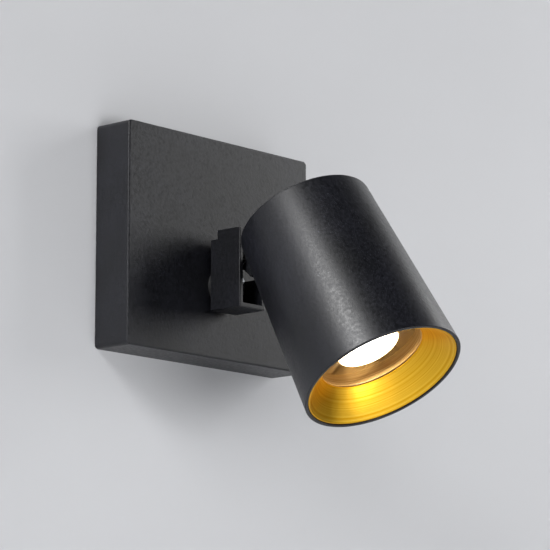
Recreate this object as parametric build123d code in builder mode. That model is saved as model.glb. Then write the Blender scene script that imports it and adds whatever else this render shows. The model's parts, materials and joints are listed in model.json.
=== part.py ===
from build123d import *

import os
from math import cos, radians, sin, sqrt

# Pivoting spotlight wall light: a folded sheet cover on a wall strap, a square swivel bracket on the
# cover, and a tapered lamp head that tilts in the bracket.
#
# Frame: millimetres, X to the right, Z up, Y into the wall.  The wall is the plane Y = 0 and the
# origin is the centre of the cover's open back.  "Reach" is a distance out of the wall, along -Y.
# Inside the head, "run" is a distance along the head's axis from its back end towards its mouth.

# ---------------------------------------------------------------- fits
fit = 0.05                      # radial gap between a shank or tube and its bore
loose_fit = 0.3                 # radial gap where a pin drops into a slot
rest_gap = 0.25                 # gap left where the cover goes over the strap

# ---------------------------------------------------------------- cover (the plate seen on the wall)
cover_width = 117.0
cover_height = 100.0
cover_depth = 20.0
cover_sheet = 1.5
cover_bend = 0.5                # inner radius of the four upright corners
cover_edge_radius = 0.8         # outer radius round the front face
cover_screw_spacing = 44.0
cover_screw_reach = 9.0
cover_pin_diameter = 4.0
cover_pin_length = 5.0

# ---------------------------------------------------------------- wall strap
strap_width = 76.0
strap_sheet = 1.5
strap_flange = 13.0
strap_bend = 1.2
wall_slot_spacing = 60.0
wall_slot_width = 4.6
wall_slot_length = 10.0
collar_wall = 1.2               # wall of the drawn collars that the threads are cut in
collar_height = 1.6

# ---------------------------------------------------------------- cable entry
entry_bore = 8.0
entry_body = 13.0
entry_lip = 2.5
entry_lip_height = 1.8
entry_height = 9.0              # height of the entry above the cover's centre

# ---------------------------------------------------------------- terminal block
pole_count = 3
pole_pitch = 8.6
pole_width = 7.0
pole_height = 7.5
block_width = 15.0
block_base = 5.0
block_lug = 8.0                 # end of the base that takes the fixing screw
block_height = 28.0             # height of its centre above the cover's centre
block_corner = 0.5
sleeve_diameter = 4.6
sleeve_bore = 3.0
sleeve_length = 13.0
clamp_screw_diameter = 2.5
clamp_screw_length = 4.2
clamp_screw_spacing = 7.0

# ---------------------------------------------------------------- screws: thread, length, head, head height
cover_screw_size = (4.0, 6.0, 7.5, 2.2)
cap_screw_size = (2.5, 7.0, 4.8, 1.4)
bracket_screw_size = (3.0, 2.8, 5.5, 1.8)
saddle_screw_size = (2.5, 4.2, 4.4, 1.5)
earth_screw_thread = 4.0
earth_screw_head = (7.5, 2.4)
block_screw_thread = 3.0
block_screw_head = (5.5, 1.8)
holder_screw_thread = 3.0
holder_screw_head = (5.5, 1.8)
slot_share = 0.22               # width of a screw's slot as a share of its head

# ---------------------------------------------------------------- earth tag
earth_place = (24.0, -30.0)
tag_sheet = 0.8
tag_ring = 8.6
tag_tail_width = 4.4
tag_tail_length = 9.0
tag_barrel_length = 6.0

# ---------------------------------------------------------------- swivel joint on the cover
swivel_height = -17.5           # height of the swivel axis
nipple_diameter = 10.0
nipple_bore = 7.0
nipple_flange = 12.0
nipple_flange_height = 1.6
swivel_washer_diameter = 16.0
swivel_washer_height = 1.9
spring_washer_height = 0.8
stop_washer_height = 1.0
stop_arm_reach = 13.5
stop_arm_width = 3.0
stop_stud_radius = 11.0
stop_stud_diameter = 3.0
stop_stud_length = 3.6
locknut_across = 14.0
locknut_height = 4.0
nipple_tail = 0.6               # thread showing behind the lock nut

# ---------------------------------------------------------------- foot and bracket
foot_height = 32.0
foot_depth = 4.1
bracket_width = 16.6
bracket_height = 36.0
bracket_depth = 13.5
bracket_wall = 2.0
bracket_bottom = -29.2
bracket_edge_radius = 0.5
window_sill = 14.2              # height of the low part of the right cheek above the bottom
dowel_diameter = 3.0
dowel_length = 4.0
dowel_skin = 0.4                # metal left over the blind end of the dowel holes
dowel_spacing = 24.0

# ---------------------------------------------------------------- tilt joint in the bracket
pivot_from_top = 11.8
barrel_diameter = 12.0
barrel_length = 7.0
barrel_gap = 0.3                # between the barrel and the bracket's back wall
pivot_boss_diameter = 9.0
pivot_boss_height = 2.0
pivot_washer_height = 0.8
pivot_washer_diameter = 11.0
wave_washer_height = 0.5
pivot_shoulder = 5.0
pivot_thread = 4.0
pivot_thread_skin = 0.8         # metal left between the thread and the cheek's plain face
pivot_head_diameter = 8.5
pivot_head_height = 2.5
pivot_drive = 3.0

# ---------------------------------------------------------------- head
head_tilt = 59.5                # degrees below level at rest
head_length = 87.0
head_back_diameter = 61.0
head_front_diameter = 72.0
head_wall = 1.6
head_back_edge = 1.5            # radius of the outer edge at the back
head_rim_edge = 0.5             # radius of both edges of the mouth's rim
pivot_outside = 7.0             # pivot axis outside the head's side, at the back end
pivot_behind = 8.0              # pivot axis behind the head's back end

saddle_width = 10.0
saddle_height = 3.0
saddle_start = 2.0
saddle_length = 11.6
neck_width = 7.0
neck_thickness = 6.0
saddle_screw_runs = (3.6, 9.2)  # places of the two screws along the saddle

lead_hole_run = 25.0
lead_hole_diameter = 6.0
lead_bush_wall = 0.8
lead_bush_lip = 1.4
lead_bush_lip_height = 1.0

# ---------------------------------------------------------------- back cap
cap_thickness = 2.0
cap_recess = 0.4
cap_gap = 0.1
boss_count = 3
boss_diameter = 6.0
boss_length = 8.0
boss_inset = 3.2                # boss axis inside the head's inner wall
first_boss_turn = 90.0          # degrees; the boss that is furthest from the pivot
vent_inner = 11.0
vent_outer = 20.5
vent_width = 2.4
vent_step = 20.0                # degrees between vents
vents_per_fan = 5
vent_fan_middles = (90, 270)    # degrees

# ---------------------------------------------------------------- lampholder
holder_diameter = 26.0
holder_length = 16.0
holder_standoff = 7.8           # from the cap's inside to the holder's back
holder_screw_spacing = 18.0
holder_counterbore = 10.0
holder_sheet = 1.2
holder_strip_width = 12.0
holder_leg_gap = 1.0            # between the holder's side and each leg of its bracket
holder_foot = 10.0
contact_thickness = 0.5
contact_width = 4.2
key_lip = 2.8                   # thickness of the lip that the pins hook behind
key_turn = 25.0                 # degrees of turn from entry to home

# ---------------------------------------------------------------- lamp with two turn-and-lock pins
lamp_diameter = 50.0
lamp_length = 47.5
pin_spacing = 10.0
pin_head = 5.0
pin_neck = 3.0
pin_length = 7.0
pin_head_length = 3.6
base_diameter = 26.0
base_length = 7.5
base_shoulder_length = 10.0
base_front_diameter = 33.0
base_floor = 3.0
bezel_thickness = 1.4
bezel_depth = 3.6               # front edge to the tops of the ribs
bezel_straight = 8.0
rib_count = 48
rib_thickness = 1.0
rib_depth = 6.0
hub_wall = 0.9
lens_diameter = 28.0
lens_thickness = 2.4
lens_crown = 1.3
board_thickness = 1.2
board_gap = 0.3
led_size = 8.0
driver_bore = 22.0
driver_reach = 10.0             # how far the driver board stands up into the lamp's body
driver_board_thickness = 1.6

# ---------------------------------------------------------------- gold reflector insert
lip_recess = 0.5                # insert's front edge behind the mouth
lip_width = 0.6
skirt_gap = 0.15
skirt_length = 6.5
insert_sheet = 0.8
throat_diameter = 46.2
throat_gap = 0.8                # between the lamp's front edge and the cone
spring_count = 3
spring_thickness = 0.4
spring_width = 6.0
spring_reach = 10.0             # how far a spring stands out behind the skirt
spring_turn = 30.0              # degrees from the right to the first spring

# ---------------------------------------------------------------- worked-out places
cover_inner_width = cover_width - 2 * cover_sheet
cover_inner_height = cover_height - 2 * cover_sheet
cover_inner_reach = cover_depth - cover_sheet
strap_height = cover_inner_height - 2 * rest_gap

foot_reach = cover_depth + swivel_washer_height
bracket_reach = foot_reach + foot_depth
bracket_top = bracket_bottom + bracket_height
bracket_middle = bracket_bottom + bracket_height / 2
bracket_inner_reach = bracket_reach + bracket_wall
cheek_inside = bracket_width / 2 - bracket_wall

pivot_reach = bracket_inner_reach + barrel_gap + barrel_diameter / 2
pivot_height = bracket_top - pivot_from_top

boss_face = -cheek_inside + pivot_boss_height
barrel_left = boss_face + pivot_washer_height
barrel_right = barrel_left + barrel_length
barrel_middle = (barrel_left + barrel_right) / 2
pivot_head_face = barrel_right + pivot_washer_height + wave_washer_height

head_axis_offset = head_back_diameter / 2 + pivot_outside
head_dir = Vector(0, -cos(radians(head_tilt)), -sin(radians(head_tilt)))
head_side = Vector(0, sin(radians(head_tilt)), -cos(radians(head_tilt)))   # axis towards the pivot
pivot_point = Vector(barrel_middle, -pivot_reach, pivot_height)
head_back = pivot_point + head_dir * pivot_behind - head_side * head_axis_offset
head_axis = Axis(head_back, head_dir)
head_section = Plane(origin=head_back, x_dir=(1, 0, 0), z_dir=head_side)    # x = radius, y = run

cap_back = cap_recess
cap_front = cap_back + cap_thickness
holder_back = cap_front + holder_standoff
holder_front = holder_back + holder_length
lamp_back = holder_front + loose_fit
lamp_front = lamp_back + lamp_length
pin_end = lamp_back - pin_length
rib_top = lamp_front - bezel_depth
board_back = rib_top - bezel_depth
skirt_front = head_length - lip_recess
skirt_back = skirt_front - skirt_length
throat_run = lamp_front + throat_gap


def outer_radius(run):
    """Outer radius of the tapered head at a run from its back end."""
    return (head_back_diameter + (head_front_diameter - head_back_diameter) * run / head_length) / 2


def inner_radius(run):
    """Inner radius of the tapered head at a run from its back end."""
    return outer_radius(run) - head_wall


def wall_plane(reach, x=0.0, z=0.0):
    """Plane parallel to the wall, facing out of it."""
    return Plane(origin=(x, -reach, z), x_dir=(1, 0, 0), z_dir=(0, -1, 0))


def level_plane(x, reach, z):
    """Level plane, facing up."""
    return Plane(origin=(x, -reach, z), x_dir=(1, 0, 0), z_dir=(0, 0, 1))


def head_plane(run):
    """Plane square to the head's axis, facing the mouth."""
    return Plane(origin=head_back + head_dir * run, x_dir=(1, 0, 0), z_dir=head_dir)


def side_plane(run, distance):
    """Plane square to the line from the head's axis to the pivot side, facing the axis."""
    origin = head_back + head_dir * run + head_side * distance
    return Plane(origin=origin, x_dir=(1, 0, 0), z_dir=-head_side)


def pivot_plane(x):
    """Plane square to the tilt axis, facing right."""
    return Plane(origin=(x, -pivot_reach, pivot_height), x_dir=(0, 1, 0), z_dir=(1, 0, 0))


def ring_solid(plane, outer, bore, height):
    """Add a flat ring that stands on a plane."""
    with BuildSketch(plane) as ring:
        Circle(outer / 2)
        if bore:
            Circle(bore / 2, mode=Mode.SUBTRACT)
    extrude(ring.sketch, amount=height)


def bore_hole(plane, diameter, depth):
    """Cut a round hole that goes into the material behind a plane."""
    with BuildSketch(plane) as hole:
        Circle(diameter / 2)
    extrude(hole.sketch, amount=-depth, mode=Mode.SUBTRACT)


def slotted_screw(plane, size):
    """Add a pan-head screw: its seat lies in the plane and its shank runs behind it."""
    shank, length, head, height = size
    ring_solid(plane, head, 0, height)
    ring_solid(plane, shank, 0, -length)
    with BuildSketch(plane.offset(height)) as drive:
        Rectangle(head, head * slot_share)
    extrude(drive.sketch, amount=-height / 2, mode=Mode.SUBTRACT)


def spread(count, spacing):
    """Places of a row of equal steps about zero."""
    return [(index - (count - 1) / 2) * spacing for index in range(count)]


# ================================================================ fixed to the wall
cover_screw_planes = [
    level_plane(x, cover_screw_reach, cover_height / 2) for x in spread(2, cover_screw_spacing)
]
cover_pin_planes = [
    level_plane(x, cover_screw_reach, -cover_inner_height / 2) for x in spread(2, cover_screw_spacing)
]
earth_plane = wall_plane(strap_sheet + collar_height, *earth_place)
block_length = pole_count * pole_pitch + block_lug
block_screw_x = block_length / 2 - block_lug / 2
pole_places = [x - block_lug / 2 for x in spread(pole_count, pole_pitch)]
block_screw_plane = wall_plane(strap_sheet + block_base, block_screw_x, block_height)

with BuildPart() as wall_cover:
    with BuildSketch(wall_plane(0)):
        RectangleRounded(cover_width, cover_height, cover_bend + cover_sheet)
    extrude(amount=cover_depth)
    fillet(wall_cover.faces().sort_by(Axis.Y)[0].edges(), radius=cover_edge_radius)
    with BuildSketch(wall_plane(0)):
        RectangleRounded(cover_inner_width, cover_inner_height, cover_bend)
    extrude(amount=cover_inner_reach, mode=Mode.SUBTRACT)
    bore_hole(wall_plane(cover_depth, z=swivel_height), nipple_diameter + 2 * fit, cover_sheet)
    for plane in cover_screw_planes:
        bore_hole(plane, cover_screw_size[0] + 2 * fit, cover_sheet)

with BuildPart() as cover_pins:
    for plane in cover_pin_planes:
        ring_solid(plane, cover_pin_diameter, 0, cover_pin_length)
    tips = cover_pins.faces().filter_by(Axis.Z).group_by(Axis.Z)[-1]
    chamfer(tips.edges(), length=cover_pin_diameter / 8)

with BuildPart() as mounting_strap:
    with BuildSketch(wall_plane(0)):
        Rectangle(strap_width, strap_height)
    extrude(amount=strap_flange)
    outer_bends = mounting_strap.faces().sort_by(Axis.Y)[-1].edges().filter_by(Axis.X)
    fillet(outer_bends, radius=strap_bend)
    with BuildSketch(wall_plane(strap_sheet)):
        Rectangle(strap_width, strap_height - 2 * strap_sheet)
    extrude(amount=strap_flange - strap_sheet, mode=Mode.SUBTRACT)
    # drawn collars: two under the cover screws, one for the earth screw, one for the terminal block
    collar_depth = cover_sheet + rest_gap + strap_sheet
    for plane in cover_screw_planes:
        ring_solid(plane.offset(-collar_depth), cover_screw_size[0] + 2 * collar_wall, 0, -collar_height)
        bore_hole(plane, cover_screw_size[0] + 2 * fit, collar_depth + collar_height)
    earth_collar = earth_screw_thread + 2 * collar_wall
    ring_solid(wall_plane(strap_sheet, *earth_place), earth_collar, 0, collar_height)
    bore_hole(earth_plane, earth_screw_thread + 2 * fit, strap_sheet + collar_height)
    block_screw_hole = wall_plane(strap_sheet, block_screw_x, block_height)
    bore_hole(block_screw_hole, block_screw_thread + 2 * fit, strap_sheet)
    bore_hole(wall_plane(strap_sheet, z=entry_height), entry_body + 2 * fit, strap_sheet)
    with BuildSketch(wall_plane(strap_sheet)):
        with GridLocations(wall_slot_spacing, 0, 2, 1):
            SlotOverall(wall_slot_length, wall_slot_width)
    extrude(amount=-strap_sheet, mode=Mode.SUBTRACT)
    for plane in cover_pin_planes:
        slot_plane = plane.offset(rest_gap + strap_sheet)
        bore_hole(slot_plane, cover_pin_diameter + 2 * loose_fit, strap_sheet)

with BuildPart() as cover_screws:
    for plane in cover_screw_planes:
        slotted_screw(plane, cover_screw_size)

with BuildPart() as cable_bush:
    ring_solid(wall_plane(0, z=entry_height), entry_body, entry_bore, strap_sheet)
    lip_diameter = entry_body + 2 * entry_lip
    ring_solid(wall_plane(strap_sheet, z=entry_height), lip_diameter, entry_bore, entry_lip_height)
    lip_face = cable_bush.faces().sort_by(Axis.Y)[0]
    fillet(lip_face.edges(), radius=entry_lip_height / 3)

sleeve_reach = strap_sheet + block_base + pole_height / 2
pole_top = strap_sheet + block_base + pole_height
with BuildPart() as terminal_block:
    with BuildSketch(wall_plane(strap_sheet, z=block_height)):
        RectangleRounded(block_length, block_width, block_corner)
    extrude(amount=block_base)
    for x in pole_places:
        with BuildSketch(wall_plane(strap_sheet + block_base, x, block_height)):
            RectangleRounded(pole_width, block_width, block_corner)
        extrude(amount=pole_height)
    for x in pole_places:
        bore_hole(
            level_plane(x, sleeve_reach, block_height + block_width / 2),
            sleeve_diameter + 2 * fit,
            block_width,
        )
        for z in spread(2, clamp_screw_spacing):
            bore_hole(
                wall_plane(pole_top, x, block_height + z),
                clamp_screw_diameter + 2 * fit,
                pole_height / 2,
            )
    bore_hole(block_screw_plane, block_screw_thread + 2 * fit, block_base)

with BuildPart() as terminal_sleeves:
    for x in pole_places:
        ring_solid(
            level_plane(x, sleeve_reach, block_height - sleeve_length / 2),
            sleeve_diameter,
            sleeve_bore,
            sleeve_length,
        )
    for x in pole_places:
        for z in spread(2, clamp_screw_spacing):
            bore_hole(
                wall_plane(pole_top, x, block_height + z),
                clamp_screw_diameter + 2 * fit,
                pole_height / 2,
            )

with BuildPart() as clamp_screws:
    for x in pole_places:
        for z in spread(2, clamp_screw_spacing):
            screw_plane = wall_plane(sleeve_reach + sleeve_bore / 4, x, block_height + z)
            ring_solid(screw_plane, clamp_screw_diameter, 0, clamp_screw_length)
            with BuildSketch(screw_plane.offset(clamp_screw_length)):
                Rectangle(clamp_screw_diameter, clamp_screw_diameter * slot_share)
            extrude(amount=-clamp_screw_diameter / 3, mode=Mode.SUBTRACT)

with BuildPart() as block_screw:
    block_screw_length = block_base + strap_sheet
    slotted_screw(block_screw_plane, (block_screw_thread, block_screw_length, *block_screw_head))

with BuildPart() as earth_tag:
    with BuildSketch(earth_plane):
        Circle(tag_ring / 2)
        with Locations((0, -tag_tail_length / 2)):
            Rectangle(tag_tail_width, tag_tail_length)
        Circle(earth_screw_thread / 2 + fit, mode=Mode.SUBTRACT)
    extrude(amount=tag_sheet)
    barrel_start = earth_place[1] - tag_tail_length + tag_sheet
    barrel_plane = Plane(
        origin=(earth_place[0], earth_plane.origin.Y - tag_tail_width / 2, barrel_start),
        x_dir=(1, 0, 0),
        z_dir=(0, 0, -1),
    )
    ring_solid(barrel_plane, tag_tail_width, tag_tail_width - 2 * tag_sheet, tag_barrel_length)

with BuildPart() as earth_screw:
    earth_screw_length = tag_sheet + collar_height + strap_sheet
    slotted_screw(
        earth_plane.offset(tag_sheet),
        (earth_screw_thread, earth_screw_length, *earth_screw_head),
    )

with BuildPart() as swivel_washer:
    ring_solid(
        wall_plane(cover_depth, z=swivel_height),
        swivel_washer_diameter,
        nipple_diameter + 2 * fit,
        swivel_washer_height,
    )

with BuildPart() as stop_stud:
    ring_solid(
        wall_plane(cover_inner_reach, z=swivel_height - stop_stud_radius),
        stop_stud_diameter,
        0,
        -stop_stud_length,
    )

# ================================================================ turns with the swivel
dowel_planes = [
    wall_plane(bracket_inner_reach - dowel_skin - dowel_length, z=bracket_bottom + foot_height / 2 + z)
    for z in spread(2, dowel_spacing)
]

with BuildPart() as bracket_foot:
    with BuildSketch(wall_plane(foot_reach, z=bracket_bottom + foot_height / 2)):
        RectangleRounded(bracket_width, foot_height, bracket_edge_radius)
    extrude(amount=foot_depth)
    bore_hole(wall_plane(bracket_reach, z=swivel_height), nipple_diameter + 2 * fit, foot_depth)
    for plane in dowel_planes:
        bore_hole(plane.offset(dowel_length), dowel_diameter + 2 * fit, dowel_length)

with BuildPart() as hinge_bracket:
    with BuildSketch(wall_plane(bracket_reach, z=bracket_middle)):
        Rectangle(bracket_width, bracket_height)
    extrude(amount=bracket_depth)
    fillet(hinge_bracket.edges().filter_by(Axis.Y), radius=bracket_edge_radius)
    fillet(hinge_bracket.faces().sort_by(Axis.Y)[0].edges(), radius=bracket_edge_radius)
    with BuildSketch(wall_plane(bracket_inner_reach, z=bracket_middle)):
        Rectangle(2 * cheek_inside, bracket_height - 2 * bracket_wall)
    extrude(amount=bracket_depth, mode=Mode.SUBTRACT)
    # the right cheek is low, so that the pivot screw can be reached
    window_bottom = bracket_bottom + window_sill
    window_top = bracket_top - bracket_wall
    with BuildSketch(wall_plane(bracket_inner_reach, bracket_width / 2, (window_bottom + window_top) / 2)):
        Rectangle(2 * bracket_wall, window_top - window_bottom)
    extrude(amount=bracket_depth, mode=Mode.SUBTRACT)
    ring_solid(pivot_plane(-cheek_inside), pivot_boss_diameter, 0, pivot_boss_height)
    bore_hole(
        pivot_plane(boss_face),
        pivot_thread + 2 * fit,
        pivot_boss_height + bracket_wall - pivot_thread_skin,
    )
    bore_hole(wall_plane(bracket_inner_reach, z=swivel_height), nipple_diameter + 2 * fit, bracket_wall)
    for plane in dowel_planes:
        bore_hole(plane.offset(dowel_length), dowel_diameter + 2 * fit, dowel_length)

with BuildPart() as foot_dowels:
    for plane in dowel_planes:
        ring_solid(plane, dowel_diameter, 0, dowel_length)

spring_washer_reach = cover_inner_reach - spring_washer_height
stop_washer_reach = spring_washer_reach - stop_washer_height
locknut_reach = stop_washer_reach - locknut_height
with BuildPart() as swivel_nipple:
    nipple_reach = locknut_reach - nipple_tail
    ring_solid(
        wall_plane(nipple_reach, z=swivel_height),
        nipple_diameter,
        nipple_bore,
        bracket_inner_reach - nipple_reach,
    )
    ring_solid(
        wall_plane(bracket_inner_reach, z=swivel_height),
        nipple_flange,
        nipple_bore,
        nipple_flange_height,
    )

with BuildPart() as spring_washer:
    ring_solid(
        wall_plane(spring_washer_reach, z=swivel_height),
        swivel_washer_diameter,
        nipple_diameter + 2 * fit,
        spring_washer_height,
    )

with BuildPart() as stop_washer:
    with BuildSketch(wall_plane(stop_washer_reach, z=swivel_height)):
        Circle(swivel_washer_diameter / 2)
        with Locations((0, stop_arm_reach / 2)):
            Rectangle(stop_arm_width, stop_arm_reach)
        Circle(nipple_diameter / 2 + fit, mode=Mode.SUBTRACT)
    extrude(amount=stop_washer_height)

with BuildPart() as swivel_locknut:
    with BuildSketch(wall_plane(locknut_reach, z=swivel_height)):
        RegularPolygon(radius=locknut_across / 2, side_count=6, major_radius=False)
        Circle(nipple_diameter / 2 + fit, mode=Mode.SUBTRACT)
    extrude(amount=locknut_height)

with BuildPart() as pivot_screw:
    ring_solid(pivot_plane(pivot_head_face), pivot_head_diameter, 0, pivot_head_height)
    fillet(pivot_screw.faces().sort_by(Axis.X)[-1].edges(), radius=pivot_head_height / 3)
    ring_solid(pivot_plane(pivot_head_face), pivot_shoulder, 0, boss_face - pivot_head_face)
    thread_length = pivot_boss_height + bracket_wall - pivot_thread_skin - fit
    ring_solid(pivot_plane(boss_face), pivot_thread, 0, -thread_length)
    with BuildSketch(pivot_plane(pivot_head_face + pivot_head_height)):
        RegularPolygon(radius=pivot_drive / 2, side_count=6, major_radius=False)
    extrude(amount=-pivot_head_height / 2, mode=Mode.SUBTRACT)

with BuildPart() as wave_washer:
    ring_solid(
        pivot_plane(pivot_head_face - wave_washer_height),
        pivot_head_diameter,
        pivot_shoulder + 2 * fit,
        wave_washer_height,
    )

# ================================================================ tilts with the head
with BuildPart() as pivot_washers:
    for x in (boss_face, barrel_right):
        ring_solid(pivot_plane(x), pivot_washer_diameter, pivot_shoulder + 2 * fit, pivot_washer_height)

saddle_end = saddle_start + saddle_length
saddle_seat = saddle_screw_size[2] ** 2 / 8 / inner_radius(saddle_start) + fit   # flat head in a round wall
saddle_screw_planes = [
    side_plane(saddle_start + run, inner_radius(saddle_start + run)) for run in saddle_screw_runs
]
with BuildPart() as knuckle:
    # neck: a straight bar from the barrel to the saddle, drawn in the plane that the head tilts in
    neck_target_run = saddle_start + neck_thickness / 3
    neck_target_side = outer_radius(neck_target_run) + saddle_height
    neck_run = neck_target_run + pivot_behind
    neck_side = neck_target_side - head_axis_offset
    neck_span = sqrt(neck_run**2 + neck_side**2)
    half_run = -neck_side / neck_span * neck_thickness / 2
    half_side = neck_run / neck_span * neck_thickness / 2
    tilt_plane = Plane(origin=head_back, x_dir=head_side, z_dir=(-1, 0, 0))
    with BuildSketch(tilt_plane):
        with BuildLine():
            Polyline(
                (head_axis_offset + half_side, -pivot_behind + half_run),
                (neck_target_side + half_side, neck_target_run + half_run),
                (neck_target_side - half_side, neck_target_run - half_run),
                (head_axis_offset - half_side, -pivot_behind - half_run),
                close=True,
            )
        make_face()
    extrude(amount=neck_width / 2, both=True)
    with BuildSketch(tilt_plane):
        with BuildLine():
            Polyline(
                (outer_radius(saddle_start) - head_wall, saddle_start),
                (outer_radius(saddle_start) + saddle_height, saddle_start),
                (outer_radius(saddle_end) + saddle_height, saddle_end),
                (outer_radius(saddle_end) - head_wall, saddle_end),
                close=True,
            )
        make_face()
    extrude(amount=saddle_width / 2, both=True)
    ring_solid(pivot_plane(barrel_left), barrel_diameter, 0, barrel_length)
    bore_hole(pivot_plane(barrel_right), pivot_shoulder + 2 * fit, barrel_length)
    # the saddle is hollowed to the head's taper
    with BuildSketch(head_section):
        with BuildLine():
            Polyline(
                (0, 0),
                (outer_radius(0) + fit, 0),
                (outer_radius(head_length / 2) + fit, head_length / 2),
                (0, head_length / 2),
                close=True,
            )
        make_face()
    revolve(axis=head_axis, mode=Mode.SUBTRACT)
    for plane in saddle_screw_planes:
        bore_hole(plane, saddle_screw_size[0] + 2 * fit, saddle_screw_size[1] + fit)

boss_angles = [first_boss_turn + index * 360 / boss_count for index in range(boss_count)]
boss_radius = inner_radius(cap_front) - boss_inset
with BuildPart() as head_shell:
    with BuildSketch(head_section):
        with BuildLine():
            Polyline(
                (inner_radius(0), 0),
                (outer_radius(0), 0),
                (outer_radius(head_length), head_length),
                (inner_radius(head_length), head_length),
                close=True,
            )
        make_face()
    revolve(axis=head_axis)
    end_circles = head_shell.edges().filter_by(GeomType.CIRCLE).sort_by(head_axis)
    back_edge = end_circles[:2].sort_by(SortBy.RADIUS)[-1]
    fillet(back_edge, radius=head_back_edge)
    rim_face = head_shell.faces().filter_by(GeomType.PLANE).sort_by(head_axis)[-1]
    fillet(rim_face.edges().filter_by(GeomType.CIRCLE), radius=head_rim_edge)
    with BuildSketch(head_plane(cap_front)):
        with PolarLocations(boss_radius, boss_count, start_angle=first_boss_turn):
            Circle(boss_diameter / 2)
            with Locations(((boss_inset + head_wall / 2) / 2, 0)):
                Rectangle(boss_inset + head_wall / 2, boss_diameter / 2)
    extrude(amount=boss_length)
    with BuildSketch(head_plane(cap_front)):
        with PolarLocations(boss_radius, boss_count, start_angle=first_boss_turn):
            Circle(cap_screw_size[0] / 2 + fit)
    extrude(amount=boss_length, mode=Mode.SUBTRACT)
    for plane in saddle_screw_planes:
        bore_hole(plane.offset(head_wall), saddle_screw_size[0] + 2 * fit, 3 * head_wall)
    bore_hole(
        side_plane(lead_hole_run, inner_radius(lead_hole_run) - head_wall),
        lead_hole_diameter + 2 * lead_bush_wall + 2 * fit,
        3 * head_wall,
    )

with BuildPart() as saddle_screws:
    for plane in saddle_screw_planes:
        slotted_screw(plane.offset(saddle_seat), saddle_screw_size)

with BuildPart() as lead_bush:
    bush_plane = side_plane(lead_hole_run, outer_radius(lead_hole_run) + lead_bush_lip_height)
    bush_outer = lead_hole_diameter + 2 * lead_bush_wall
    ring_solid(bush_plane, bush_outer + 2 * lead_bush_lip, lead_hole_diameter, lead_bush_lip_height / 2)
    ring_solid(bush_plane, bush_outer, lead_hole_diameter, 2 * lead_bush_lip_height + head_wall)

with BuildPart() as back_cap:
    ring_solid(head_plane(cap_back), 2 * (inner_radius(cap_back) - cap_gap), 0, cap_thickness)
    with BuildSketch(head_plane(cap_back)):
        for middle in vent_fan_middles:
            for turn in spread(vents_per_fan, vent_step):
                vent_radius = (vent_inner + vent_outer) / 2
                angle = radians(middle + turn)
                with Locations((vent_radius * cos(angle), vent_radius * sin(angle))):
                    SlotOverall(vent_outer - vent_inner, vent_width, rotation=middle + turn)
        with PolarLocations(boss_radius, boss_count, start_angle=first_boss_turn):
            Circle(cap_screw_size[0] / 2 + fit)
    extrude(amount=cap_thickness, mode=Mode.SUBTRACT)
    holder_foot_centre = holder_diameter / 2 + holder_leg_gap + holder_sheet + holder_foot / 2
    with BuildSketch(head_plane(cap_back)):
        with GridLocations(2 * holder_foot_centre, 0, 2, 1):
            Circle(bracket_screw_size[0] / 2 + fit)
    extrude(amount=cap_thickness, mode=Mode.SUBTRACT)

with BuildPart() as cap_screws:
    for angle in boss_angles:
        outward = Plane(
            origin=head_plane(cap_back).from_local_coords(
                (boss_radius * cos(radians(angle)), boss_radius * sin(radians(angle)), 0)
            ),
            x_dir=(1, 0, 0),
            z_dir=-head_dir,
        )
        slotted_screw(outward, cap_screw_size)

with BuildPart() as holder_bracket:
    leg_centre = holder_diameter / 2 + holder_leg_gap + holder_sheet / 2
    with BuildSketch(head_plane(holder_back - holder_sheet)):
        Rectangle(2 * leg_centre + holder_sheet, holder_strip_width)
    extrude(amount=holder_sheet)
    with BuildSketch(head_plane(cap_front)):
        with GridLocations(2 * leg_centre, 0, 2, 1):
            Rectangle(holder_sheet, holder_strip_width)
    extrude(amount=holder_back - cap_front)
    with BuildSketch(head_plane(cap_front)):
        with GridLocations(2 * holder_foot_centre, 0, 2, 1):
            Rectangle(holder_foot, holder_strip_width)
            Circle(bracket_screw_size[0] / 2 + fit, mode=Mode.SUBTRACT)
    extrude(amount=holder_sheet)
    with BuildSketch(head_plane(holder_back - holder_sheet)):
        with GridLocations(0, holder_screw_spacing, 1, 2):
            Circle(holder_screw_thread / 2 + fit)
    extrude(amount=holder_sheet, mode=Mode.SUBTRACT)

with BuildPart() as bracket_screws:
    for x in (-holder_foot_centre, holder_foot_centre):
        foot_top = head_plane(cap_front + holder_sheet)
        slotted_screw(
            Plane(origin=foot_top.from_local_coords((x, 0, 0)), x_dir=(1, 0, 0), z_dir=head_dir),
            bracket_screw_size,
        )

key_floor = pin_end - fit - contact_thickness
key_roof = holder_front - key_lip
key_arc = CenterArc((0, 0), pin_spacing / 2, 0, key_turn)      # path of a pin from home back to entry
with BuildPart() as lamp_holder:
    ring_solid(head_plane(holder_back), holder_diameter, 0, holder_length)
    # each pin enters through a round hole and turns home along an arc, under a lip
    with BuildSketch(head_plane(key_floor)):
        with PolarLocations(0, 2):
            SlotArc(key_arc, pin_head + 2 * loose_fit)
    extrude(amount=key_roof - key_floor, mode=Mode.SUBTRACT)
    with BuildSketch(head_plane(key_roof)):
        with PolarLocations(0, 2):
            SlotArc(key_arc, pin_neck + 2 * loose_fit)
        with PolarLocations(pin_spacing / 2, 2, start_angle=key_turn):
            Circle(pin_head / 2 + loose_fit)
    extrude(amount=key_lip, mode=Mode.SUBTRACT)
    for y in spread(2, holder_screw_spacing):
        screw_place = head_plane(holder_front).from_local_coords((0, y, 0))
        screw_top = Plane(origin=screw_place, x_dir=(1, 0, 0), z_dir=head_dir)
        bore_hole(screw_top, holder_screw_head[0] + 2 * loose_fit, holder_counterbore)
        bore_hole(screw_top, holder_screw_thread + 2 * fit, holder_length)

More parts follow.
